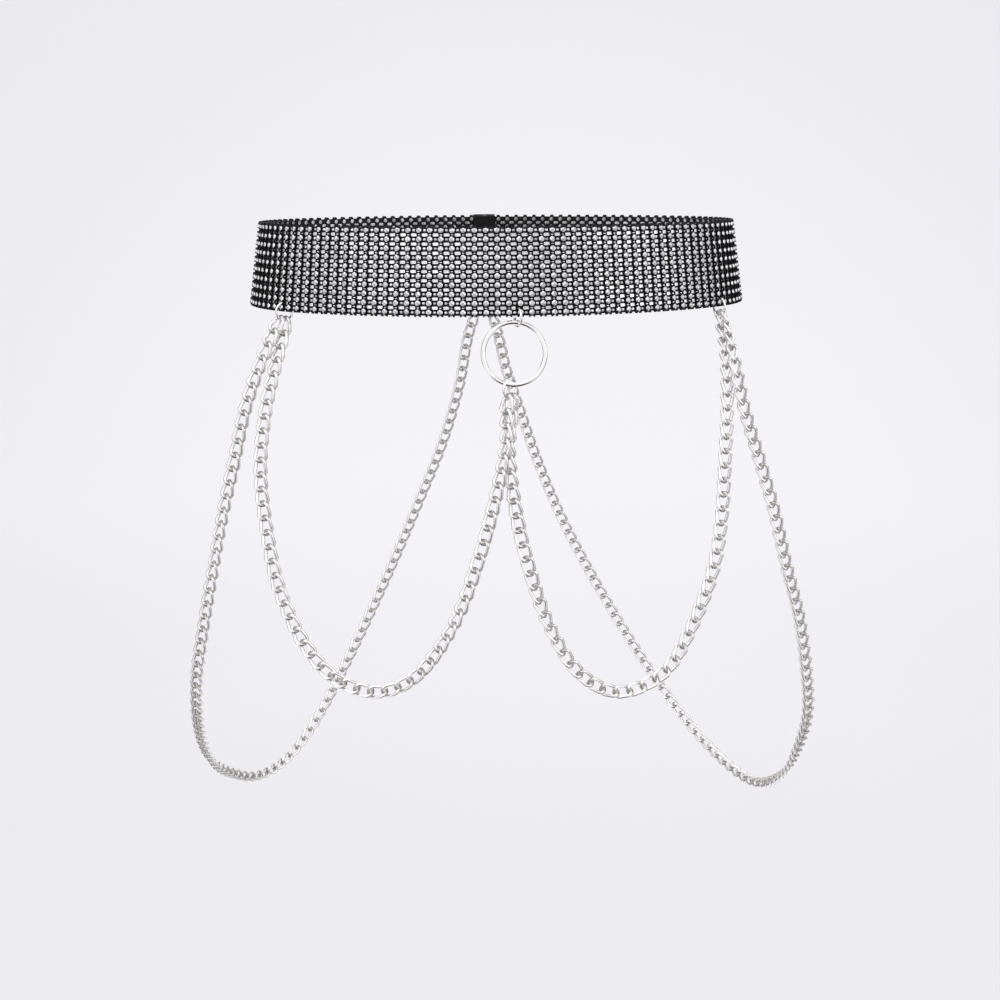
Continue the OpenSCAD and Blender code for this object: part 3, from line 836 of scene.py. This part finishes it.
lamps = {
    "keyLamp": {"at": (-1.1, -1.3, 1.3), "size": 1.8, "power": 11},
    "fillLamp": {"at": (1.5, -1.0, 0.7), "size": 1.5, "power": 6},
    "topLamp": {"at": (0.0, 0.2, 1.7), "size": 1.6, "power": 8}}
lampTarget = (0, 0, -0.1)


# The matrix that sets an object's three axes along x, y and z and its origin at a place.
def placed(x, y, z, at):
    return Matrix([[x[k], y[k], z[k], at[k]] for k in range(3)] + [[0, 0, 0, 1]])


# A lamp's place, turned towards the target. One that hangs nearly above it takes its width along x.
def aimed(at):
    z = np.array(at, float) - np.array(lampTarget, float)
    z /= np.linalg.norm(z)
    x = np.cross([0, 0, 1], z) if abs(z[2]) < 0.99 else np.array([1.0, 0, 0])
    x /= np.linalg.norm(x)
    return placed(x, np.cross(z, x), z, at)


for name, lamp in lamps.items():
    data = bpy.data.lights.new(name, "AREA")
    data.size, data.energy = lamp["size"], lamp["power"]
    obj = bpy.data.objects.new(name, data)
    obj.matrix_world = aimed(lamp["at"])
    bpy.context.collection.objects.link(obj)

# What polished metal mirrors: a bright studio with a few dark screens, each a soft spot round a direction. It
# begins and is full at the given cosines of the angle from that direction, and leaves a share of the light.
sky = {"bright": 0.93, "blue": 1.02, "screens": [
    {"towards": (0.0, -0.63, -0.78), "from": 0.74, "full": 0.9, "leaves": 0.05},
    {"towards": (0.8, 0.15, -0.5), "from": 0.8, "full": 0.92, "leaves": 0.5},
    {"towards": (0.5, 0.2, 0.85), "from": 0.93, "full": 0.98, "leaves": 0.04},
    {"towards": (0.1, -0.95, -0.26), "from": 0.97, "full": 0.99, "leaves": 0.15},
    {"towards": (1.0, 0.7, -0.02), "from": 0.82, "full": 0.95, "leaves": 0.3},
    {"towards": (-1.0, 0.75, -0.02), "from": 0.82, "full": 0.95, "leaves": 0.3}]}


def skyShader(g):
    way = g.node("ShaderNodeTexCoord", None, None, 0)
    light = None
    for screen in sky["screens"]:
        length = math.sqrt(sum(v * v for v in screen["towards"]))
        towards = [v / length for v in screen["towards"]]
        near = g.node("ShaderNodeVectorMath", {"operation": "DOT_PRODUCT"}, {0: way, 1: towards}, 1)
        clear = g.softStep(near, screen["from"], screen["full"], 1.0, screen["leaves"])
        light = clear if light is None else light * clear
    bright, blue = light * sky["bright"], light * (sky["bright"] * sky["blue"])
    colour = g.node("ShaderNodeCombineColor", None, {0: bright, 1: bright, 2: blue})
    return g.node("ShaderNodeBackground", None, {"Color": colour, "Strength": 1.0})


world = bpy.data.worlds.new("studioSky")
world.use_nodes = True
skyGraph = Graph(world.node_tree)
skyGraph.node("ShaderNodeOutputWorld", None, {"Surface": skyShader(skyGraph)})
bpy.context.scene.world = world
bpy.context.scene.view_settings.view_transform = "Standard"

# The camera: its place in metres, how far it is turned aside, down and over, and its lens on a 36 mm sensor.
shot = {"at": (-0.0658, -0.7157, 0.0429), "aside": 5.25, "down": 13.23, "roll": -0.26,
        "lens": 50, "sensor": 36, "shift": 0.00124}


def cameraMatrix():
    aside, down, roll = (math.radians(shot[k]) for k in ("aside", "down", "roll"))
    right = np.array([math.cos(aside), -math.sin(aside), 0])
    forward = np.array([math.sin(aside) * math.cos(down), math.cos(aside) * math.cos(down), -math.sin(down)])
    upward = np.cross(right, forward)
    x = right * math.cos(roll) + upward * math.sin(roll)
    y = upward * math.cos(roll) - right * math.sin(roll)
    return placed(x, y, -forward, shot["at"])


lens = bpy.data.cameras.new("shotCamera")
lens.lens, lens.sensor_width, lens.shift_x = shot["lens"], shot["sensor"], shot["shift"]
camera = bpy.data.objects.new("shotCamera", lens)
camera.matrix_world = cameraMatrix()
bpy.context.collection.objects.link(camera)
bpy.context.scene.camera = camera
print("studio and camera ready")
